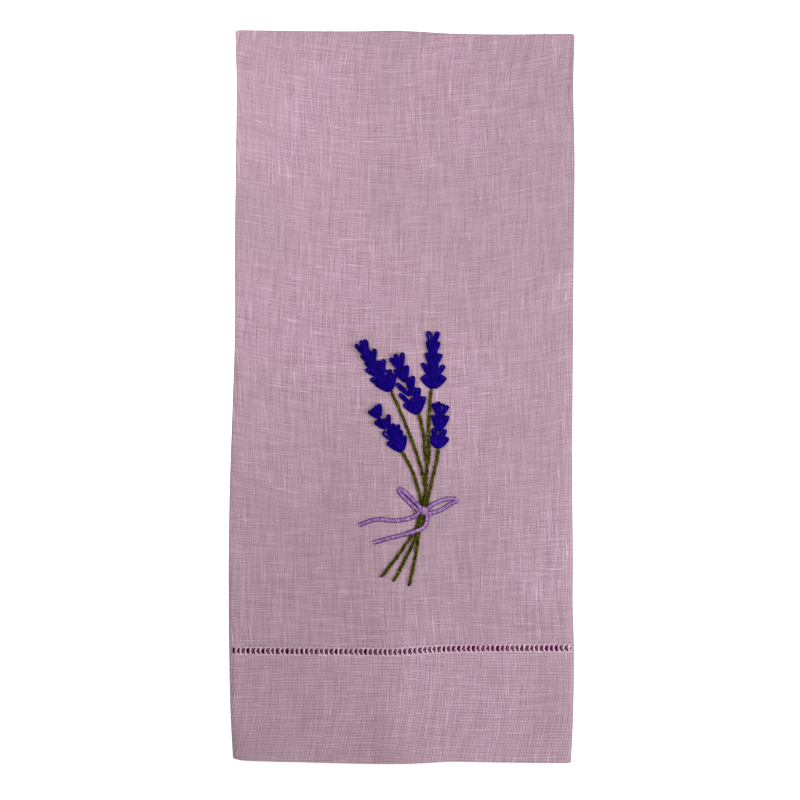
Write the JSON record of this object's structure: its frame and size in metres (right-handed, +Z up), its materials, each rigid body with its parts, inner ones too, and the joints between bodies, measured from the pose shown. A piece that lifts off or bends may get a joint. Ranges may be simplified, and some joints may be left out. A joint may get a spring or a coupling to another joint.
{
  "type": "folded tea towel",
  "caption": "Mauve linen tea towel folded in half and in thirds, with a deep hemstitched hem and an embroidered bunch of lavender sprigs tied with a bow",
  "frame": {"origin": "on the table, under the middle of the folded towel", "axes": "+X is the towel's right side seen from above, +Y is towards the top fold, away from the hem, +Z is up out of the embroidered face"},
  "size_m": [0.1798, 0.382, 0.0133],
  "materials": {
    "linen": "plain-woven slubbed linen",
    "violet_thread": "stranded cotton, satin",
    "olive_thread": "stranded cotton, satin",
    "lilac_thread": "stranded cotton, satin"
  },
  "bodies": {
    "root": {"towel_cloth": "linen", "lavender_head_1": "violet_thread", "lavender_head_2": "violet_thread", "lavender_head_3": "violet_thread", "lavender_head_4": "violet_thread", "lavender_head_5": "violet_thread", "stems": "olive_thread", "bow": "lilac_thread"}
  },
  "joints": []
}
